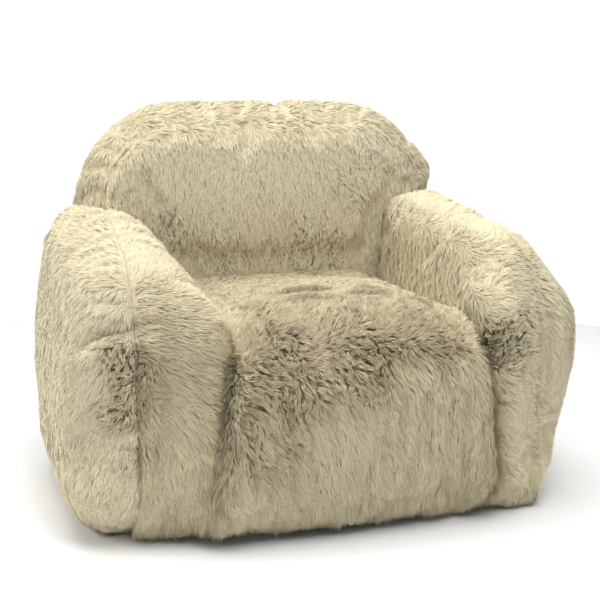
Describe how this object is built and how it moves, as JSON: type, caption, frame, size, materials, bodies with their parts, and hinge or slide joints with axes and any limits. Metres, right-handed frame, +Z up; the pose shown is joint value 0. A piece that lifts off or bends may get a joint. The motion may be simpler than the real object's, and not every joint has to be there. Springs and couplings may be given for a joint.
{
  "type": "bean bag chair",
  "caption": "Low stuffed bean bag armchair in long-pile faux fur, with two rounded arms, a seat and a rounded back.",
  "frame": {"origin": "on the floor under the middle of the chair", "axes": "+Z up, -Y towards the front of the seat, +X to the right seen from the front"},
  "size_m": [0.93, 0.82, 0.735],
  "materials": {
    "fur": "long soft pile, cream tips over taupe roots",
    "liner": "plain woven polyester",
    "stuffing": "loose polystyrene beads and foam",
    "base_cloth": "plain cloth with grip dots",
    "zip_tape": "narrow woven tape",
    "zip_coil": "nylon coil",
    "zip_metal": "dull nickel",
    "label": "satin ribbon"
  },
  "bodies": {
    "chair": {"seat_front_panel": "fur", "left_arm_inner_panel": "fur", "left_arm_outer_panel": "fur", "right_arm_inner_panel": "fur", "right_arm_outer_panel": "fur", "backrest_front_panel": "fur", "backrest_gusset": "fur", "backrest_rear_panel": "fur", "rear_skirt_panel": "fur", "base_panel": "base_cloth", "zip_tape_upper": "zip_tape", "zip_tape_lower": "zip_tape", "zip_coil": "zip_coil", "zip_end_stops": "zip_metal", "care_label": "label", "seat_liner": "liner", "left_arm_liner": "liner", "right_arm_liner": "liner", "backrest_liner": "liner", "seat_fill": "stuffing", "left_arm_fill": "stuffing", "right_arm_fill": "stuffing", "backrest_fill": "stuffing"},
    "slider": {"zip_slider": "zip_metal"}
  },
  "joints": [
    {"name": "zip_slide", "type": "slide", "parent": "chair", "child": "slider", "axis": [-1, 0, 0], "range_m": [0, 0.53]}
  ]
}
